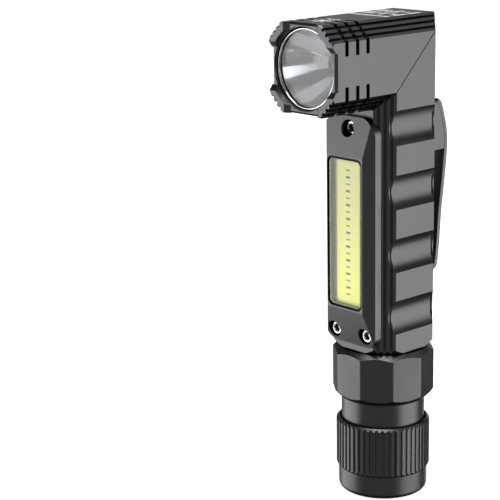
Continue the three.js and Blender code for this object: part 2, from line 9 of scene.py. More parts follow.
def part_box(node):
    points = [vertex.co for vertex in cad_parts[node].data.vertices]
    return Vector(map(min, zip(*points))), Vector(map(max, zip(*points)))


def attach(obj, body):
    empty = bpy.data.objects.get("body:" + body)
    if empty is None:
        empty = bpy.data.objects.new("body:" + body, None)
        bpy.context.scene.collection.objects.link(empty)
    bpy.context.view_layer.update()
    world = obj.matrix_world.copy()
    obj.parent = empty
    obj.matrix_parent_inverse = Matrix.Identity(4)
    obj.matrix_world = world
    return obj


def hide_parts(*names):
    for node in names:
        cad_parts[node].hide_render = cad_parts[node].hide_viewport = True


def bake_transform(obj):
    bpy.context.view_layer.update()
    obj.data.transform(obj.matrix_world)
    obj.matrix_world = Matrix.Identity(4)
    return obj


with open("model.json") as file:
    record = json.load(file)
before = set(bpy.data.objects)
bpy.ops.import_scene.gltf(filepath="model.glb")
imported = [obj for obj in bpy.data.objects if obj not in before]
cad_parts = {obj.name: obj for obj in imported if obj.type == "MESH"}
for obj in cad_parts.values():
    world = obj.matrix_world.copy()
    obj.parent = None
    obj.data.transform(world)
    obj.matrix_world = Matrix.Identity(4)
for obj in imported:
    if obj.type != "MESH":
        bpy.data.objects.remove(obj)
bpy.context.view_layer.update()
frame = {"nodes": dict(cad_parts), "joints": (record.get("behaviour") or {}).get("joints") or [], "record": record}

# Looks of the twist-head work flashlight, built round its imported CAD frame. Lengths are in metres, and the
# sizes written here in millimetres are multiplied by MM where they are used.
MM = 0.001
SLOT_OF = {part["node"]: part["material_slot"] for part in frame["record"]["subparts"]}
BODY_OF = {
    node: body for body, nodes in frame["record"]["behaviour"]["bodies"].items() for node in nodes
}
TWIST = next(joint for joint in frame["joints"] if joint["name"] == "head_twist")

ROUND = 128  # sides of the round shapes that show
WELD = 2e-6  # corners closer than this are one corner
FLAT_ANGLE = math.radians(0.3)  # faces closer than this are one flat face

# Parts of the head are drawn straight, with the twist centre at the origin, and turned half round to rest.
PIVOT = Vector(TWIST["pos_m"])
TO_REST = Matrix.Translation(PIVOT) @ Matrix.Rotation(math.pi, 4, Vector(TWIST["axis"]))


# ---- camera ----
CAMERA = {
    "azimuth": 43.36,
    "elevation": 17.76,
    "distance": 0.507,
    "target_z": 0.04642,
    "yaw": 4.727,
    "pitch": 3.326,
    "roll": 0.411,
    "lens": 116.15,
}


def make_camera():
    """The camera stands round the body's axis, then turns a little left, up and over to frame the object."""
    azimuth, elevation = math.radians(CAMERA["azimuth"]), math.radians(CAMERA["elevation"])
    yaw, pitch, roll = (math.radians(CAMERA[key]) for key in ("yaw", "pitch", "roll"))
    back = Vector((
        math.sin(azimuth) * math.cos(elevation),
        -math.cos(azimuth) * math.cos(elevation),
        math.sin(elevation),
    ))
    right = (-back).cross(Vector((0, 0, 1))).normalized()
    up = right.cross(-back)
    ahead = -back * math.cos(yaw) - right * math.sin(yaw)
    side = right * math.cos(yaw) - back * math.sin(yaw)
    ahead, upwards = (
        ahead * math.cos(pitch) + up * math.sin(pitch),
        up * math.cos(pitch) - ahead * math.sin(pitch),
    )
    x_axis = side * math.cos(roll) + upwards * math.sin(roll)
    y_axis = upwards * math.cos(roll) - side * math.sin(roll)
    camera = bpy.data.objects.new("camera", bpy.data.cameras.new("camera"))
    bpy.context.scene.collection.objects.link(camera)
    turn = Matrix((x_axis, y_axis, -ahead)).transposed().to_4x4()
    place = Vector((0, 0, CAMERA["target_z"])) + back * CAMERA["distance"]
    camera.matrix_world = Matrix.Translation(place) @ turn
    camera.data.lens = CAMERA["lens"]
    camera.data.sensor_width = 36
    camera.data.clip_start = 0.01
    camera.data.clip_end = 20
    bpy.context.scene.camera = camera


# ---- studio ----
AIM = Vector((0, 0, 0.08))
# Soft panels round the object: where they stand, how wide and high they are, and how bright.
SOFTBOXES = {
    "left": {"azimuth": -56, "elevation": -12, "width": 0.95, "height": 0.84, "radiance": 2.4},
    "right": {"azimuth": 121, "elevation": -12, "width": 1.06, "height": 0.9, "radiance": 2.33},
    "back": {"azimuth": -138, "elevation": 22, "width": 0.9, "height": 0.6, "radiance": 0.3},
    "rear_left": {"azimuth": -88, "elevation": -12, "width": 0.42, "height": 0.8, "radiance": 0.8},
    "rear": {"azimuth": -154, "elevation": -12, "width": 0.5, "height": 0.8, "radiance": 0.8},
    "high": {"azimuth": 160, "elevation": 46, "width": 0.7, "height": 0.5, "radiance": 0.5},
    "top": {"azimuth": 20, "elevation": 80, "width": 0.7, "height": 0.7, "radiance": 5.5},
    "fill": {"azimuth": 32, "elevation": -12, "width": 1.7, "height": 1.2, "radiance": 0.24},
}
AMBIENT = 0.05


def make_studio():
    for name, box in SOFTBOXES.items():
        azimuth, elevation = math.radians(box["azimuth"]), math.radians(box["elevation"])
        back = Vector((
            math.sin(azimuth) * math.cos(elevation),
            -math.cos(azimuth) * math.cos(elevation),
            math.sin(elevation),
        ))
        data = bpy.data.lights.new(f"softbox_{name}", "AREA")
        data.shape = "RECTANGLE"
        data.size, data.size_y = box["width"], box["height"]
        data.energy = box["radiance"] * math.pi * box["width"] * box["height"]
        light = bpy.data.objects.new(data.name, data)
        bpy.context.scene.collection.objects.link(light)
        light.rotation_mode = "QUATERNION"
        light.rotation_quaternion = back.to_track_quat("Z", "Y")
        light.location = AIM + back
    world = bpy.data.worlds.new("studio")
    world.use_nodes = True
    world.node_tree.nodes["Background"].inputs["Color"].default_value = (AMBIENT, AMBIENT, AMBIENT, 1)
    bpy.context.scene.world = world
    bpy.context.scene.view_settings.view_transform = "Standard"

    shade = Shader("studio_paper", Roughness=0.9)
    tone = shade.span(shade.noise(3, 2), 0.3, 0.7, 0.93, 0.95)
    shade.colour(shade.grey(tone))
    shade.set("Emission Color", (1, 1, 1, 1))
    shade.set("Emission Strength", 0.92)
    half = 6.0
    flat, dome = bmesh.new(), bmesh.new()
    corners = ((-half, -half, 0), (half, -half, 0), (half, half, 0), (-half, half, 0))
    flat.faces.new([flat.verts.new(corner) for corner in corners])
    bmesh.ops.create_uvsphere(dome, u_segments=48, v_segments=24, radius=half * 0.95)
    for name, bm in (("floor", flat), ("backdrop", dome)):
        mesh = bpy.data.meshes.new(name)
        bm.to_mesh(mesh)
        bm.free()
        mesh.materials.append(shade.material)
        paper = bpy.data.objects.new(name, mesh)
        bpy.context.scene.collection.objects.link(paper)
        # The panels reach below the floor, so that the upright faces mirror them and not the paper.
        paper.visible_glossy = False
        paper.visible_shadow = False
        paper.visible_diffuse = name == "floor"


# ---- materials ----
class Shader:
    """A node material. Its calls each add one node and return what it gives."""

    def __init__(self, name, **values):
        self.material = bpy.data.materials.new(name)
        self.material.use_nodes = True
        self.tree = self.material.node_tree
        self.surface = self.tree.nodes["Principled BSDF"]
        self.place = self.tree.nodes.new("ShaderNodeTexCoord").outputs["Object"]
        for socket, value in values.items():
            self.set(socket.replace("_", " "), value)

    def set(self, socket, value):
        """A value that is the same all over, straight on the shader's own socket."""
        self.surface.inputs[socket].default_value = value

    def join(self, output, target):
        self.tree.links.new(output, target)

    def node(self, kind, inputs, output=0, **settings):
        made = self.tree.nodes.new(kind)
        for key, value in settings.items():
            setattr(made, key, value)
        for key, value in inputs.items():
            if isinstance(value, bpy.types.NodeSocket):
                self.join(value, made.inputs[key])
            else:
                made.inputs[key].default_value = value
        return made.outputs[output]

    def noise(self, scale, detail, stretch=(1, 1, 1), rough=0.5):
        place = self.node("ShaderNodeMapping", {"Vector": self.place, "Scale": stretch})
        return self.node(
            "ShaderNodeTexNoise",
            {"Vector": place, "Scale": scale, "Detail": detail, "Roughness": rough},
            "Fac",
        )

    def maths(self, operation, first, second=0.0):
        return self.node("ShaderNodeMath", {0: first, 1: second}, operation=operation)

    def span(self, value, low, high, to_low, to_high):
        return self.node(
            "ShaderNodeMapRange",
            {"Value": value, "From Min": low, "From Max": high, "To Min": to_low, "To Max": to_high},
        )

    def axis(self, name):
        return self.node("ShaderNodeSeparateXYZ", {0: self.place}, name)

    def mix(self, share, first, second):
        return self.node("ShaderNodeMix", {0: share, 6: first, 7: second}, 2, data_type="RGBA")

    def grey(self, value):
        return self.node("ShaderNodeCombineColor", {0: value, 1: value, 2: value})

    def edges(self, radius):
        """0 on a flat, rising to 1 on an edge."""
        softened = self.node("ShaderNodeBevel", {"Radius": radius}, samples=6)
        normal = self.tree.nodes.new("ShaderNodeNewGeometry").outputs["Normal"]
        same = self.node("ShaderNodeVectorMath", {0: softened, 1: normal}, "Value", operation="DOT_PRODUCT")
        return self.span(same, 0.985, 0.86, 0.0, 1.0)

    def painted_gap_shade(self, distance, floor):
        """Painted shade: 1 in the open, falling to `floor` deep in a narrow gap, for darkening a colour where it
        lies in shade.
        """
        seen = self.node("ShaderNodeAmbientOcclusion", {"Distance": distance}, "AO", samples=8)
        return self.span(seen, 0.35, 0.85, floor, 1.0)

    def colour(self, output):
        self.join(output, self.surface.inputs["Base Color"])

    def roughness(self, output):
        self.join(output, self.surface.inputs["Roughness"])

    def bump(self, height, distance, strength=1.0):
        normal = self.node("ShaderNodeBump", {"Height": height, "Distance": distance, "Strength": strength})
        self.join(normal, self.surface.inputs["Normal"])


def tint(value, warm=0.0):
    """A grey, a little blue or, with warm above 0, a little yellow."""
    return (value * (1 + warm), value, value * (1.03 - 2 * warm), 1)


def anodised(name, base, rough, gap_shade, turned=False):
    """Hard-anodised aluminium: a fine blasted grain or turning lines, soft clouds, paler edges that are part wear
    and part painted highlight, and painted shade in narrow hollows.
    """
    shade = Shader(name, Metallic=1.0)
    cloud = shade.noise(55, 3)
    body = shade.mix(shade.span(cloud, 0.3, 0.7, 0, 1), tint(base * 0.94), tint(base * 1.06))
    scuffs = shade.span(shade.noise(900, 4), 0.42, 0.62, 0.25, 1)
    # Paler edges: part wear, broken up by scuffs, and part a painted highlight along every edge.
    wear_and_highlight = shade.maths("MULTIPLY", shade.edges(0.12 * MM), scuffs)
    body = shade.mix(shade.maths("MULTIPLY", wear_and_highlight, 0.4), body, tint(base * 2.4))
    # Painted shade: the colour falls towards a tenth of its tone deep in narrow hollows.
    shade.colour(shade.mix(shade.painted_gap_shade(1.6 * MM, gap_shade), tint(base * 0.1), body))
    fine = shade.noise(2600, 2, rough=0.6)
    shade.roughness(shade.maths("ADD", shade.span(cloud, 0.3, 0.7, rough - 0.02, rough + 0.03),
                                shade.span(fine, 0.3, 0.7, -0.02, 0.03)))
    stretch = (60, 60, 5000) if turned else (5200, 5200, 5200)
    shade.bump(shade.noise(1, 2, stretch=stretch), (0.0012 if turned else 0.0016) * MM)
    return shade.material


def rubber():
    shade = Shader("black_rubber", Roughness=0.7)
    shade.colour(shade.mix(shade.noise(400, 3), tint(0.014), tint(0.026)))
    shade.roughness(shade.span(shade.noise(1500, 3), 0.3, 0.7, 0.55, 0.75))
    shade.bump(shade.noise(5000, 3), 0.012 * MM)
    return shade.material


def metal(name, base, rough, warm=0.0, lines=(900, 900, 900), gap_shade=None):
    """Bare or plated metal with fine lines along the axis that `lines` stretches least, and painted shade deep in
    narrow hollows when a floor for it is given.
    """
    shade = Shader(name, Metallic=1.0)
    shade.colour(shade.mix(shade.noise(300, 3), tint(base * 0.9, warm), tint(min(base * 1.06, 1), warm)))
    # Painted shade: with a floor given, the colour falls to near black deep in narrow hollows.
    if gap_shade is not None:
        bright = shade.surface.inputs["Base Color"].links[0].from_socket
        shade.colour(shade.mix(shade.painted_gap_shade(1.5 * MM, gap_shade), tint(base * 0.05), bright))
    grain = shade.noise(1, 3, stretch=lines)
    shade.roughness(shade.span(grain, 0.3, 0.7, rough * 0.8, rough * 1.25))
    shade.bump(grain, 0.0008 * MM)
    return shade.material


# The reflector's bowl in millimetres, drawn straight.
BOWL = {"mouth_r": 11.45, "mouth_z": 30.6, "throat_r": 3.4, "throat_z": 19.9, "flange_r": 11.8}


def mirror_bowl():
    """A polished bowl: a plain mirror with faint polishing marks. What shows in it is the lamps around it."""
    shade = Shader("mirror_bowl", Metallic=1.0)
    shade.colour(shade.mix(shade.noise(300, 3), tint(0.90), tint(0.95)))
    shade.roughness(shade.span(shade.noise(600, 2), 0.3, 0.7, 0.1, 0.16))
    shade.bump(shade.noise(700, 2), 0.001 * MM)
    return shade.material


def clear(name, colour, rough):
    """A clear pane: what is behind it shows, and its faces shine more at a glancing angle."""
    shade = Shader(name)
    through = shade.node("ShaderNodeBsdfTransparent", {"Color": colour})
    marks = shade.span(shade.noise(500, 3), 0.4, 0.7, rough * 0.6, rough * 1.8)
    shine = shade.node("ShaderNodeBsdfGlossy", {"Color": (1, 1, 1, 1), "Roughness": marks})
    glancing = shade.node("ShaderNodeLayerWeight", {"Blend": 0.5}, "Facing")
    share = shade.span(shade.maths("POWER", glancing, 4.0), 0, 1, 0.035, 0.9)
    mixed = shade.node("ShaderNodeMixShader", {0: share, 1: through, 2: shine})
    shade.join(mixed, shade.tree.nodes["Material Output"].inputs["Surface"])
    shade.tree.nodes.remove(shade.surface)
    return shade.material


def phosphor():
    """Soft silicone with yellow powder in it: paler and darker towards its top end, with painted shade in dark
    olive along its long edges, and a faint painted glow.
    """
    shade = Shader("yellow_phosphor", Roughness=0.45)
    low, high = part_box("cob_strip")
    speckle = shade.noise(2500, 3)
    # The colour is paler and darker towards the strip's top end.
    pale = shade.mix(speckle, (0.58, 0.57, 0.21, 1), (0.64, 0.62, 0.26, 1))
    full = shade.mix(speckle, (0.80, 0.78, 0.12, 1), (0.86, 0.84, 0.17, 1))
    powder = shade.mix(shade.span(shade.axis("Z"), low.z, high.z, 1, 0), pale, full)
    # Painted shade: the colour darkens to dark olive towards the strip's long edges.
    rim = shade.span(shade.maths("ABSOLUTE", shade.axis("X")), 4.4 * MM, 5.6 * MM, 0, 1)
    powder = shade.mix(rim, powder, (0.20, 0.20, 0.09, 1))
    shade.colour(powder)
    shade.roughness(shade.span(speckle, 0.3, 0.7, 0.38, 0.52))
    shade.bump(shade.noise(900, 3), 0.01 * MM)
    # Painted light: the strip glows faintly in its own colour, painted edge shade included, whatever lamps fall on
    # it.
    shade.join(powder, shade.surface.inputs["Emission Color"])
    shade.set("Emission Strength", 0.12)
    return shade.material


def plastic(name, colour, rough, grain=1500):
    shade = Shader(name)
    darker = tuple(c * 0.8 for c in colour)
    shade.colour(shade.mix(shade.noise(350, 3), (*darker, 1), (*colour, 1)))
    shade.roughness(shade.span(shade.noise(grain, 3), 0.3, 0.7, rough * 0.85, rough * 1.2))
    shade.bump(shade.noise(grain, 2), 0.004 * MM)
    return shade.material


def battery_wrap():
    """Shrink wrap up to the shoulder, and bare steel on the raised end."""
    shade = Shader("battery_wrap")
    shoulder = (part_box("battery_cell")[1].z - 1.6 * MM)
    end = shade.span(shade.axis("Z"), shoulder, shoulder + 0.1 * MM, 0, 1)
    wrap = shade.mix(shade.noise(200, 3), (0.04, 0.12, 0.30, 1), (0.06, 0.16, 0.38, 1))
    shade.colour(shade.mix(end, wrap, (0.62, 0.61, 0.60, 1)))
    shade.join(end, shade.surface.inputs["Metallic"])
    shade.roughness(shade.span(shade.noise(500, 3), 0.3, 0.7, 0.28, 0.42))
    shade.bump(shade.noise(260, 3, stretch=(1, 1, 0.2)), 0.02 * MM)
    return shade.material


def print_ink():
    shade = Shader("white_ink")
    shade.colour(shade.mix(shade.noise(1800, 3), (0.84, 0.84, 0.85, 1), (0.95, 0.95, 0.95, 1)))
    shade.roughness(shade.span(shade.noise(900, 2), 0.3, 0.7, 0.4, 0.6))
    return shade.material


def make_materials():
    return {
        "anodised": anodised("anodised_body", 0.109, 0.32, gap_shade=0.12),
        "dark_anodised": anodised("anodised_turned", 0.104, 0.36, gap_shade=0.5, turned=True),
        "clear_cover": clear("clear_cover", (0.97, 0.98, 0.96, 1), 0.03),
        "lens_glass": clear("lens_glass", (0.98, 0.99, 0.99, 1), 0.01),
        "rubber": rubber(),
        "bright_screws": metal("bright_plating", 0.85, 0.14, gap_shade=0.0),
        "dark_screws": metal("black_oxide", 0.10, 0.30),
        "polished_ring": metal("polished_ring", 0.9, 0.08),
        "reflector": mirror_bowl(),
        "board_white": plastic("pale_board", (0.40, 0.38, 0.46), 0.35),
        # An opaque pale yellow on the clear pane's side walls: a painted reflection of the lit strip.
        "pane_edge_painted_reflection": plastic("pane_edge_painted_reflection", (0.55, 0.55, 0.40), 0.3),
        "phosphor": phosphor(),
        "bare_aluminium": metal("bare_aluminium", 0.62, 0.28, lines=(60, 900, 60)),
        "steel": metal("turned_steel", 0.5, 0.24, lines=(80, 80, 2000)),
        "magnet": metal("nickel_plate", 0.6, 0.18),
        "brass": metal("turned_brass", 0.5, 0.22, warm=0.25),
        "circuit": plastic("circuit_board", (0.03, 0.17, 0.07), 0.35),
        "component": plastic("moulded_component", (0.02, 0.02, 0.022), 0.5),
        "cell_wrap": battery_wrap(),
        "red_wire": plastic("red_insulation", (0.45, 0.02, 0.02), 0.4),
        "black_wire": plastic("black_insulation", (0.015, 0.015, 0.015), 0.4),
        "die": plastic("light_die", (0.035, 0.03, 0.004), 0.35),
        "faint_die": plastic("sunken_light_die", (0.24, 0.23, 0.05), 0.4),
        "ink": print_ink(),
    }


# ---- meshes ----
def new_object(name, bm):
    mesh = bpy.data.meshes.new(name)
    bmesh.ops.recalc_face_normals(bm, faces=bm.faces)
    bm.to_mesh(mesh)
    bm.free()
    made = bpy.data.objects.new(name, mesh)
    bpy.context.scene.collection.objects.link(made)
    return made


def lathe(profile, sides=ROUND):
    """Turns [(radius, height)] in millimetres about +Z. It ends on the axis twice, or is a closed ring."""
    bm = bmesh.new()
    rows = []
    for r, z in profile:
        if r == 0:
            rows.append([bm.verts.new((0, 0, z * MM))] * sides)
            continue
        angles = [2 * math.pi * i / sides for i in range(sides)]
        rows.append([bm.verts.new((r * MM * math.cos(a), r * MM * math.sin(a), z * MM)) for a in angles])
    skin_rows(bm, rows, closed=profile[0][0] != 0)
    return bm


def skin_rows(bm, rows, closed):
    """Faces between neighbouring rows of corners, each row a ring. closed joins the last row to the first."""
    count = len(rows) if closed else len(rows) - 1
    sides = len(rows[0])
    for k in range(count):
        low, high = rows[k], rows[(k + 1) % len(rows)]
        for i in range(sides):
            j = (i + 1) % sides
            corners = list(dict.fromkeys([low[i], low[j], high[j], high[i]]))
            if len(corners) > 2:
                bm.faces.new(corners)


def arc(centre, radius, start, end, steps):
    """Points in millimetres on an arc, its angles in degrees, both ends included."""
    angles = [math.radians(start + (end - start) * i / steps) for i in range(steps + 1)]
    return [(centre[0] + radius * math.cos(a), centre[1] + radius * math.sin(a)) for a in angles]


def prism(outline, low, high):
    """An [(x, y)] outline in millimetres, extruded along Z."""
    bm = bmesh.new()
    floor = [bm.verts.new((x * MM, y * MM, low * MM)) for x, y in outline]
    roof = [bm.verts.new((x * MM, y * MM, high * MM)) for x, y in outline]
    skin_rows(bm, [floor, roof], closed=False)
    bm.faces.new(floor)
    bm.faces.new(roof)
    return bm


def combined(made, operation, *tools):
    """made, with the other shapes cut from it, joined to it or kept in common with it."""
    for tool in tools:
        cutter = new_object("tool", tool)
        step = made.modifiers.new("step", "BOOLEAN")
        step.operation, step.object, step.solver = operation, cutter, "EXACT"
        with_tools = bpy.data.meshes.new_from_object(
            made.evaluated_get(bpy.context.evaluated_depsgraph_get())
        )
        made.modifiers.clear()
        old, made.data = made.data, with_tools
        bpy.data.meshes.remove(old)
        bpy.data.objects.remove(cutter)
    return made


def solid_copy(made):
    """The object's mesh as a bmesh, for use as a tool; the object itself goes."""
    bm = bmesh.new()
    bm.from_mesh(made.data)
    mesh = made.data
    bpy.data.objects.remove(made)
    bpy.data.meshes.remove(mesh)
    return bm


def placed(made, matrix):
    made.data.transform(matrix)
    return made


def smoothed(made, sharp):
    """Smooth shading with edges above `sharp` degrees kept sharp."""
    made.data.shade_smooth()
    made.data.set_sharp_from_angle(angle=math.radians(sharp))
    return made


def rounded(made, width, sharp=20, over=32, steps=2):
    """Rounds every edge sharper than `over` degrees by `width` millimetres."""
    smoothed(made, sharp)
    bevel = made.modifiers.new("rounding", "BEVEL")
    bevel.width, bevel.segments = width * MM, steps
    bevel.limit_method, bevel.angle_limit = "ANGLE", math.radians(over)
    bevel.use_clamp_overlap = True
    flats = made.modifiers.new("flats", "WEIGHTED_NORMAL")
    flats.keep_sharp = True
    return made


def of_cad(node):
    """A CAD node's mesh in a new object, its corners welded and its flat faces made whole."""
    bm = bmesh.new()
    bm.from_mesh(frame["nodes"][node].data)
    bmesh.ops.remove_doubles(bm, verts=bm.verts, dist=WELD)
    bmesh.ops.dissolve_limit(bm, angle_limit=FLAT_ANGLE, verts=bm.verts, edges=bm.edges)
    return new_object(f"{node}_skin", bm)


def finished(made, node, slot=None, stands=True):
    """Gives a piece its material and body, and hides the CAD node it stands for unless stands is False."""
    slot = slot or SLOT_OF[node]
    made.data.materials.clear()
    made.data.materials.append(MATERIALS[slot])
    if stands:
        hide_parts(node)
    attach(made, BODY_OF[node])
    return made


# ---- shells ----
# The round-bottomed grooves across the body's sides, in millimetres.
GROOVE = {"top": 117.5, "pitch": 19.3, "chord": 10.5, "depth": 1.62}


def grooved_body():
    """The body with each groove's edges brought out to their full width."""
    half, chord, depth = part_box("head_shell")[1].x / MM, GROOVE["chord"], GROOVE["depth"]
    r = (chord * chord / 4 + depth * depth) / (2 * depth)
    cutters = []
    for i, side in ((0, 1), (1, 1), (2, 1), (3, 1), (2, -1), (3, -1)):
        cutter = lathe([(0, -30), (r, -30), (r, 30), (0, 30)], 240)
        axis = Vector((side * (half - depth + r), 0, GROOVE["top"] - i * GROOVE["pitch"])) * MM
        turn = Matrix.Translation(axis) @ Matrix.Rotation(math.pi / 2, 4, "X")
        bmesh.ops.transform(cutter, matrix=turn, verts=cutter.verts)
        cutters.append(cutter)
    return combined(of_cad("body_shell"), "DIFFERENCE", *cutters)


def shells():
    finished(rounded(grooved_body(), 0.06, sharp=20), "body_shell")
    for node, width, sharp in (
        ("switch_bezel", 0.35, 20),
        ("clip_block", 0.06, 20),
    ):
        finished(rounded(of_cad(node), width, sharp), node)
    head = of_cad("head_shell")
    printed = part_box("head_shell")[1].z
    for vertex in head.data.vertices:
        if printed - vertex.co.z < WELD:
            vertex.co.z -= INK_H * MM
    finished(rounded(head, 0.08, sharp=20), "head_shell")


# ---- clip ----
# The strip's outer line in millimetres as [y, z], from its top down to its tip, and its other sizes.
CLIP_LINE = [
    (17.9, 122.6), (19.3, 121.2), (20.7, 117.1), (21.8, 112.9), (22.1, 109.1), (22.0, 105.6),
    (20.9, 95.9), (19.7, 87.0), (18.8, 76.5), (17.9, 70.3), (16.4, 68.9), (15.5, 69.2),
]
CLIP = {"half_width": 6.2, "thickness": 1.3, "corner": 1.4, "hole": 1.5}


def bent_line(points, per_span):
    """A smooth line through [(y, z)] points."""
    made = []
    for i in range(len(points) - 1):
        before, start, end, after = (
            Vector(points[min(max(i + k, 0), len(points) - 1)]) for k in (-1, 0, 1, 2)
        )
        for step in range(per_span):
            t = step / per_span
            made.append(0.5 * (
                2 * start + (end - before) * t
                + (2 * before - 5 * start + 4 * end - after) * t * t
                + (3 * start - before - 3 * end + after) * t ** 3
            ))
    return [*made, Vector(points[-1])]


def clip():
    """One bent spring strip, fixed at its top and bending below its screws."""
    line = bent_line(CLIP_LINE, 6)
    bm = bmesh.new()
    rows = []
    for i, point in enumerate(line):
        along = (line[min(i + 1, len(line) - 1)] - line[max(i - 1, 0)]).normalized()
        inward = Vector((along.y, -along.x)) * CLIP["thickness"]
        half = CLIP["half_width"]
        to_tip = (len(line) - 1 - i) / 4
        if to_tip < 1:
            half -= CLIP["corner"] * (1 - math.sqrt(1 - (1 - to_tip) ** 2))
        inner = point + inward
        rows.append([
            bm.verts.new((x * MM, p.x * MM, p.y * MM))
            for x, p in ((-half, point), (half, point), (half, inner), (-half, inner))
        ])
    skin_rows(bm, rows, closed=False)
    bm.faces.new(rows[0])
    bm.faces.new(rows[-1])
    strip = new_object("clip_strip", bm)
    screws = [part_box(f"clip_screw_{name}") for name in ("lower", "upper")]
    for box in screws:
        hole = lathe([(0, 9), (CLIP["hole"], 9), (CLIP["hole"], 30), (0, 30)], 48)
        height = (box[0].z + box[1].z) / 2
        turn = Matrix.Translation((0, 0, height)) @ Matrix.Rotation(-math.pi / 2, 4, "X")
        bmesh.ops.transform(hole, matrix=turn, verts=hole.verts)
        combined(strip, "DIFFERENCE", hole)
    rounded(strip, 0.1, sharp=30, over=40)
    mesh = bpy.data.meshes.new_from_object(strip.evaluated_get(bpy.context.evaluated_depsgraph_get()))
    strip.modifiers.clear()
    strip.data = mesh
    strip.data.materials.clear()
    strip.data.materials.append(MATERIALS["anodised"])
    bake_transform(strip)
    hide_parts("clip_plate", "clip_arm")


# ---- screws ----
def socket_screw(node, head_r, head_h, socket_r, socket_depth, shank_r, facing, sunk=0.0):
    """A round-headed socket screw. facing is +1 where its head points along +Y and -1 where along -Y."""
    low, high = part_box(node)
    length = (high.y - low.y) / MM - head_h - sunk
    dome = min(0.5, head_h - 0.2, head_r - socket_r - 0.1)
    profile = [
        (0, -length), (shank_r - 0.2, -length), (shank_r, -length + 0.25), (shank_r, 0), (head_r - 0.1, 0),
        (head_r, 0.1), *arc((head_r - dome, head_h - dome), dome, 0, 90, 10), (0, head_h),
    ]
    screw = new_object(f"{node}_skin", lathe(profile, 64))
    hexagon = [
        (socket_r * math.cos(a), socket_r * math.sin(a)) for a in (math.pi / 3 * i for i in range(6))
    ]
    sink = lathe([(0, head_h - 0.2), (socket_r - 0.1, head_h - 0.2), (socket_r + 0.2, head_h + 0.1),
                  (0, head_h + 0.1)], 48)
    combined(screw, "DIFFERENCE", prism(hexagon, head_h - socket_depth, head_h + 1), sink)
    front = high.y if facing > 0 else low.y
    seat = Vector(((low.x + high.x) / 2, front - facing * (head_h + sunk) * MM, (low.z + high.z) / 2))
    placed(screw, Matrix.Translation(seat) @ Matrix.Rotation(-facing * math.pi / 2, 4, "X"))
    finished(smoothed(screw, 35), node)


def screws():
    for place in ("top", "left", "right"):
        socket_screw(f"bezel_screw_{place}", 2.2, 1.5, 1.35, 1.1, 1.2, facing=-1, sunk=0.35)
    for place in ("lower", "upper"):
        socket_screw(f"clip_screw_{place}", 2.1, 1.2, 0.95, 0.7, 1.2, facing=1)


# ---- side lamp ----
DIES = {"count": 19, "pitch": 2.13, "half_width": 0.88, "half_height": 0.34, "sunk": 0.15, "proud": 0.02}
# Half sizes across X and Z, corner radii and depths (along -Y) of the lamp's pieces, in millimetres.
OPENING = {"half": (7.2, 23.3), "corner": 2.1, "back": -15.97}
PANE = {"half": (6.4, 22.5), "corner": 1.5, "flange": (7.3, 24.5), "flange_corner": 0.9}


def rounded_outline(half_w, half_h, corner, steps=10):
    """An outline with round corners about the origin, in millimetres."""
    x, y = half_w - corner, half_h - corner
    return [
        *arc((x, y), corner, 0, 90, steps), *arc((-x, y), corner, 90, 180, steps),
        *arc((-x, -y), corner, 180, 270, steps), *arc((x, -y), corner, 270, 360, steps),
    ]


def front_slab(name, outline, y_back, y_front, centre_z):
    """An outline drawn across X and Z, centred at centre_z, between two depths along -Y."""
    slab = new_object(name, prism(outline, -y_back, -y_front))
    return placed(slab, Matrix.Translation((0, 0, centre_z)) @ Matrix.Rotation(math.pi / 2, 4, "X"))


def ring_slab(name, outer, inner, y_back, y_front, centre_z):
    """A flat frame between two outlines, each ((half width, half height), corner)."""
    frame_piece = front_slab(name, rounded_outline(*outer[0], outer[1]), y_back, y_front, centre_z)
    hole = prism(rounded_outline(*inner[0], inner[1]), -y_back - 1, -y_front + 1)
    turn = Matrix.Translation((0, 0, centre_z)) @ Matrix.Rotation(math.pi / 2, 4, "X")
    bmesh.ops.transform(hole, matrix=turn, verts=hole.verts)
    return combined(frame_piece, "DIFFERENCE", hole)


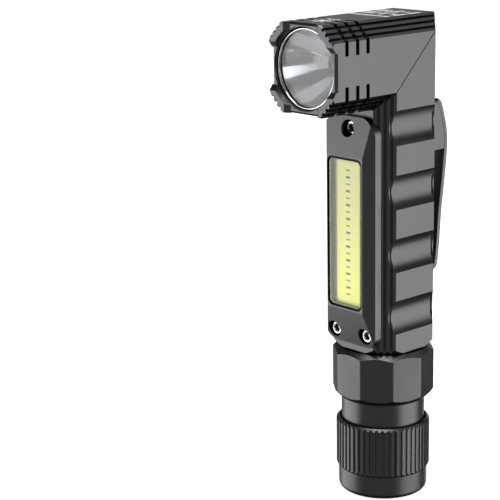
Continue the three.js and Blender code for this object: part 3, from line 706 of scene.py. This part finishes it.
def side_lamp():
    low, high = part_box("cob_window")
    centre = (low.z + high.z) / 2
    turn = Matrix.Translation((0, 0, centre)) @ Matrix.Rotation(math.pi / 2, 4, "X")
    flange = (PANE["flange"], PANE["flange_corner"])
    pane = (PANE["half"], PANE["corner"])

    opening = prism(rounded_outline(*OPENING["half"], OPENING["corner"]), -OPENING["back"], 18)
    bmesh.ops.transform(opening, matrix=turn, verts=opening.verts)
    finished(rounded(combined(of_cad("cob_bezel"), "DIFFERENCE", opening), 0.12, sharp=8), "cob_bezel")

    brim = rounded_outline(*PANE["flange"], PANE["flange_corner"])
    cover = front_slab("cob_window_skin", brim, -15.6, -15.93, centre)
    raised = prism(rounded_outline(*PANE["half"], PANE["corner"]), 15.8, 16.7)
    bmesh.ops.transform(raised, matrix=turn, verts=raised.verts)
    finished(smoothed(combined(cover, "UNION", raised), 30), "cob_window")
    # Painted reflection: the raised pane's side walls take an opaque pale yellow that stands for the strip's light
    # caught in the clear edge.
    cover.data.materials.append(MATERIALS["pane_edge_painted_reflection"])
    for polygon in cover.data.polygons:
        if abs(polygon.normal.y) < 0.5 and polygon.center.y < -15.95 * MM:
            polygon.material_index = 1
    brim_of_seal = (tuple(h + 0.15 for h in PANE["flange"]), 1.0)
    seal = ring_slab("window_seal_skin", brim_of_seal, pane, -15.96, -16.12, centre)
    finished(rounded(seal, 0.03, sharp=30), "window_seal")

    board = combined(
        of_cad("cob_board"), "UNION", solid_copy(ring_slab("rim", flange, pane, -14.3, -15.57, centre))
    )
    finished(rounded(board, 0.05, sharp=20), "cob_board")

    profile = ((6.2, -14.45), (5.6, -14.8), (5.1, -15.08), (4.75, -15.24), (4.4, -15.3))
    bm = bmesh.new()
    rows = []
    for half_w, y in profile:
        outline = rounded_outline(half_w, half_w + 16.9, half_w * 0.22)
        rows.append([bm.verts.new((x * MM, y * MM, centre + z * MM)) for x, z in outline])
    skin_rows(bm, rows, closed=False)
    bm.faces.new(rows[0])
    bm.faces.new(rows[-1])
    finished(smoothed(new_object("cob_strip_skin", bm), 40), "cob_strip")

    for kind, first in (("faint_die", 0), ("die", 1)):
        bm = bmesh.new()
        for i in range(first, DIES["count"], 2):
            half_w, half_t = DIES["half_width"], DIES["half_height"]
            if kind == "faint_die":
                half_w, half_t = half_w * 0.9, half_t * 0.7
            outline = rounded_outline(half_w, half_t, half_t * 0.7, 4)
            bar = prism(outline, 15.3 - DIES["sunk"], 15.3 + DIES["proud"])
            place = Matrix.Translation((0, 0, ((DIES["count"] - 1) / 2 - i) * DIES["pitch"] * MM))
            bmesh.ops.transform(bar, matrix=place @ turn, verts=bar.verts)
            piece = bpy.data.meshes.new("bar")
            bar.to_mesh(piece)
            bar.free()
            bm.from_mesh(piece)
            bpy.data.meshes.remove(piece)
        bars = new_object("cob_dies" if kind == "die" else "cob_dies_faint", bm)
        finished(smoothed(bars, 40), "cob_strip", kind, stands=False)


# ---- switch ----
def power_button():
    """A domed rubber button with a raised ring and bar on it."""
    low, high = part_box("power_button")
    centre = (low.z + high.z) / 2
    depth = (high.x - low.x) / MM
    edge = depth - 1.0
    button = new_object("power_button_skin", lathe([
        (0, 0), (1.2, 0), (1.2, 1.0), (3.9, 1.0), (4.0, 1.1), (4.0, edge - 0.35),
        *arc((3.55, edge - 0.35), 0.45, 0, 75, 5), (3.1, edge + 0.18), (2.0, depth - 0.12),
        (1.0, depth - 0.03), (0, depth),
    ], 96))
    outwards = Matrix.Translation((high.x, 0, centre)) @ Matrix.Rotation(-math.pi / 2, 4, "Y")
    finished(smoothed(placed(button, outwards), 35), "power_button")
    ring = [*arc((0, 0), 1.75, 35, 325, 32), *arc((0, 0), 1.35, 325, 35, 32)]
    bar = [(0.9, -0.2), (2.1, -0.2), (2.1, 0.2), (0.9, 0.2)]
    for name, outline in (("button_ring", ring), ("button_bar", bar)):
        mark = new_object(name, prism(outline, depth - 0.35, depth - 0.02))
        finished(rounded(placed(mark, outwards), 0.05, sharp=30), "power_button", "ink", stands=False)


# ---- tail ----
COLLAR = {"sides": 10, "corner_r": 15.9, "bottom": 31.0, "top": 47.4, "end_r": 14.1, "bottom_r": 13.7}
NECK_R = 13.0
BORE_R = 9.6
THREAD = {"root_r": 11.5, "crest_r": 12.2, "pitch": 1.25, "low": 10.5, "high": 20.4, "steps": 48}
CAP = {
    "rib_r": 14.65, "root_r": 14.25, "band_r": 13.9, "band_top": 7.4, "top": 23.5, "ribs": 50, "round": 1.8,
}


def softened_polygon(sides, corner_r, cut):
    """A polygon with a flat facing -Y and each corner taken off by a small arc."""
    outline = []
    for i in range(sides):
        angle = -math.pi / 2 + (2 * i + 1) * math.pi / sides
        for share in (-1, -0.4, 0.4, 1):
            r = corner_r - cut * (0.25 + 0.28 * share * share)
            turn = angle + share * cut * 1.9 / corner_r
            outline.append((r * math.cos(turn), r * math.sin(turn)))
    return outline


def tail_tube():
    low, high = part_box("tail_tube")
    foot, head = low.z / MM, high.z / MM
    bottom, top, corner_r = COLLAR["bottom"], COLLAR["top"], COLLAR["corner_r"]
    tube = new_object("tail_tube_skin", prism(softened_polygon(COLLAR["sides"], corner_r, 0.2), bottom, top))
    combined(tube, "INTERSECT", lathe([
        (0, bottom), (COLLAR["bottom_r"], bottom), (corner_r, bottom + 2.2),
        (corner_r, top - corner_r + COLLAR["end_r"]), (COLLAR["end_r"], top), (0, top),
    ]))
    stem = lathe([
        (0, foot), (THREAD["root_r"] - 0.5, foot), (THREAD["root_r"], foot + 0.5), (THREAD["root_r"], 21.0),
        (NECK_R - 0.15, 21.3), (NECK_R, 21.45), (NECK_R, bottom + 0.5), (11.4, bottom + 0.5),
        (11.4, head), (0, head),
    ])
    combined(tube, "UNION", stem)
    groove = [(NECK_R - 1.3, 22.2), (NECK_R + 1, 22.2), (NECK_R + 1, 23.5), (NECK_R - 1.3, 23.5)]
    spigot = [(10.5, 52.0), (12.5, 52.0), (12.5, 53.2), (10.5, 53.2)]
    bore = [(0, 0), (BORE_R, 0), (BORE_R, 60), (0, 60)]
    combined(tube, "DIFFERENCE", lathe(bore), lathe(groove), lathe(spigot))
    finished(smoothed(tube, 20), "tail_tube")
    thread()


def thread():
    """The tail's screw thread: one ridge that climbs round the tube and runs out at both ends."""
    root, crest, pitch = THREAD["root_r"] - 0.06, THREAD["crest_r"], THREAD["pitch"]
    turns = (THREAD["high"] - THREAD["low"]) / pitch
    count = int(turns * THREAD["steps"])
    bm = bmesh.new()
    rows = []
    for i in range(count + 1):
        angle = 2 * math.pi * turns * i / count
        height = THREAD["low"] + pitch * turns * i / count
        runout = min(1.0, 4 * min(i, count - i) / THREAD["steps"] + 0.05)
        tip = root + (crest - root) * runout
        section = ((root, -0.5), (tip, -0.1), (tip, 0.1), (root, 0.5))
        rows.append([
            bm.verts.new((r * MM * math.cos(angle), r * MM * math.sin(angle), (height + z * pitch) * MM))
            for r, z in section
        ])
    skin_rows(bm, rows, closed=False)
    bm.faces.new(rows[0])
    bm.faces.new(rows[-1])
    ridge = new_object("tail_thread", bm)
    finished(smoothed(ridge, 30), "tail_tube", stands=False)


def tail_cap():
    """A screw cap with straight ribs that run out on a cone at each end, over a plain rounded band."""
    rib_r, root_r, band_r = CAP["rib_r"], CAP["root_r"], CAP["band_r"]
    step = 2 * math.pi / CAP["ribs"]
    cone_r = rib_r + 0.1
    low_slope, high_start, rim_r = 1.1 / (cone_r - band_r), CAP["top"] - 0.9, cone_r - 0.9
    shares = (
        (-0.29, root_r), (-0.19, rib_r - 0.03), (-0.12, rib_r), (0.12, rib_r), (0.19, rib_r - 0.03),
        (0.29, root_r), (0.5, root_r + 0.01),
    )
    bm = bmesh.new()
    columns = []
    for i in range(CAP["ribs"]):
        for share, r in shares:
            angle = (i + share) * step
            round_r = CAP["round"]
            profile = [
                (band_r - round_r - 1.5, 0), *arc((band_r - round_r, round_r), round_r, -90, 0, 6),
                (band_r, CAP["band_top"] - 0.15), (band_r + 0.02, CAP["band_top"]),
                (r, CAP["band_top"] + (r - band_r) * low_slope), (r, high_start + cone_r - r),
                (rim_r, CAP["top"]), (NECK_R + 0.62, CAP["top"]), (NECK_R + 0.5, CAP["top"] - 0.12),
                (NECK_R + 0.5, 21.2), (12.5, 20.9), (12.5, 5.2), (8.5, 5.2), (8.5, 1.6),
            ]
            columns.append([
                bm.verts.new((p * MM * math.cos(angle), p * MM * math.sin(angle), z * MM)) for p, z in profile
            ])
    rows = [list(row) for row in zip(*columns)]
    skin_rows(bm, rows, closed=False)
    bm.faces.new(rows[0])
    bm.faces.new(rows[-1])
    finished(smoothed(new_object("tail_cap_skin", bm), 25), "tail_cap")


def tail_spring():
    """A conical coil spring of round wire."""
    low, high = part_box("tail_spring")
    wire, turns, per_turn, sides = 0.35, 4, 32, 10
    base, top = low.z / MM + wire, high.z / MM - wire
    bm = bmesh.new()
    rows = []
    count = turns * per_turn
    for i in range(count + 1):
        share = i / count
        angle = 2 * math.pi * turns * share
        r = 4.9 - 1.8 * share
        centre = Vector((r * math.cos(angle), r * math.sin(angle), base + (top - base) * share))
        outward, up = Vector((math.cos(angle), math.sin(angle), 0)), Vector((0, 0, 1))
        rows.append([
            bm.verts.new((centre + outward * wire * math.cos(b) + up * wire * math.sin(b)) * MM)
            for b in (2 * math.pi * k / sides for k in range(sides))
        ])
    skin_rows(bm, rows, closed=False)
    bm.faces.new(rows[0])
    bm.faces.new(rows[-1])
    finished(smoothed(new_object("tail_spring_skin", bm), 40), "tail_spring")


# ---- head ----
def in_head(made):
    return placed(made, TO_REST)


def reflector():
    """A deep bowl whose wall waves very slightly round the axis, which folds what it mirrors."""
    mouth_r, mouth_z, throat_r, throat_z, flange_r = (
        BOWL[key] for key in ("mouth_r", "mouth_z", "throat_r", "throat_z", "flange_r")
    )
    waves = ((9, 0.050, 0.4), (14, 0.034, 1.9), (23, 0.016, 0.7))
    sides, steps = 288, 24
    bm = bmesh.new()
    rows = []
    angles = [2 * math.pi * i / sides for i in range(sides)]
    for k in range(steps + 1):
        r = throat_r + (mouth_r - throat_r) * k / steps
        share = (r * r - throat_r ** 2) / (mouth_r ** 2 - throat_r ** 2)
        z = throat_z + (mouth_z - throat_z) * share
        depth = math.sin(math.pi * k / steps) ** 0.5
        rows.append([])
        for a in angles:
            wave = sum(size * math.sin(count * a + phase) for count, size, phase in waves) * depth
            wall = (r + wave) * MM
            rows[-1].append(bm.verts.new((wall * math.cos(a), wall * math.sin(a), z * MM)))
    flange = (
        (flange_r - 0.1, mouth_z), (flange_r, mouth_z - 0.1), (flange_r, mouth_z - 1.2),
        (throat_r + 2.6, throat_z),
    )
    for r, z in flange:
        rows.append([bm.verts.new((r * MM * math.cos(a), r * MM * math.sin(a), z * MM)) for a in angles])
    skin_rows(bm, rows, closed=True)
    finished(smoothed(in_head(new_object("reflector_skin", bm)), 40), "reflector")


def lens_parts():
    ring = lathe([(11.2, 31.7), (11.8, 31.7), *arc((11.5, 32.0), 0.3, 0, 180, 12)])
    finished(smoothed(in_head(new_object("lens_ring_skin", ring)), 50), "lens_ring")
    glass = lathe([
        (0, 30.85), (11.7, 30.85), (11.8, 30.95), (11.8, 31.55), (11.7, 31.65), (0, 31.65),
    ])
    finished(smoothed(in_head(new_object("lens_skin", glass)), 30), "lens")


def emitter():
    """A square LED package with its clear dome."""
    package = prism(rounded_outline(1.72, 1.72, 0.25, 4), 18.75, 19.5)
    made = new_object("led_emitter_skin", package)
    dome = lathe([(0, 19.4), (1.25, 19.4), *arc((0, 19.55), 1.25, 0, 80, 10), (0, 20.8)], 64)
    combined(made, "UNION", dome)
    finished(smoothed(in_head(made), 40), "led_emitter")


# ---- printed marks on the head's flat: plain pictures with no lettering ----
INK_H = 0.02  # millimetres


def ink_mark(name, outline):
    """A flat mark on the head's front flat. Its outline is [(across, along)] in millimetres."""
    face = -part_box("body_shell")[1].x / MM
    mark = new_object(name, prism([(x, -z) for x, z in outline], face, face + INK_H))
    turn = Matrix.Rotation(-math.pi / 2, 4, "X")
    finished(smoothed(in_head(placed(mark, turn)), 30), "head_shell", "ink", stands=False)


def ink_box(name, x, z, half_w, half_h):
    corners = ((-1, -1), (1, -1), (1, 1), (-1, 1))
    ink_mark(name, [(x + across * half_w, z + along * half_h) for across, along in corners])


def ink_arrow(name, x, z, way):
    """A small arrow; way is +1 where it points along +X."""
    points = [(-1.5, -0.45), (0.1, -0.45), (0.1, -1.15), (1.5, 0), (0.1, 1.15), (0.1, 0.45), (-1.5, 0.45)]
    ink_mark(name, [(x + way * px, z + pz) for px, pz in points])


def marks():
    """A sun near the lens, and two rows that show the head bent and straight, with an arrow between."""
    centre = Vector((0, 25.6))
    ink_mark("mark_sun", arc(tuple(centre), 1.6, 0, 352.5, 47))
    for i in range(8):
        angle = math.radians(45 * i)
        out, side = Vector((math.cos(angle), math.sin(angle))), Vector((-math.sin(angle), math.cos(angle)))
        corners = [centre + out * r + side * w for r, w in ((2.1, -0.4), (3.4, -0.4), (3.4, 0.4), (2.1, 0.4))]
        ink_mark(f"mark_ray_{i}", [tuple(c) for c in corners])
    for i in range(3):
        ink_box(f"mark_dot_{i}", (i - 1) * 1.8, 20.9, 0.62, 0.62)
    for i in range(9):
        ink_box(f"mark_rule_{i}", (i - 4) * 1.75, 6.2, 0.7, 1.0)
    for row, (z, way) in enumerate(((0.4, 1), (-5.6, -1))):
        bent_x, straight_x = (-6.9, -0.5) if way > 0 else (-0.5, -6.9)
        bent = [(-0.85, -2.4), (0.85, -2.4), (0.85, 0.8), (1.8, 0.8), (1.8, 2.4), (-0.85, 2.4)]
        ink_mark(f"mark_bent_{row}", [(bent_x + x, z + along) for x, along in bent])
        ink_box(f"mark_straight_{row}", straight_x, z, 0.85, 2.4)
        ink_arrow(f"mark_arrow_{row}", -3.6, z - 0.5, way)
        for line in (0, 1):
            ink_box(f"mark_line_{row}_{line}", 4.9, z + 1.2 - 2.4 * line, 2.6, 0.75)


# ---- the rest: CAD shapes with softened edges ----
def others():
    for node in sorted(frame["nodes"]):
        if not frame["nodes"][node].hide_render:
            finished(rounded(of_cad(node), 0.08, sharp=30, over=40), node)


make_camera()
make_studio()
MATERIALS = make_materials()
shells()
clip()
screws()
side_lamp()
power_button()
tail_tube()
tail_cap()
tail_spring()
reflector()
lens_parts()
emitter()
marks()
others()
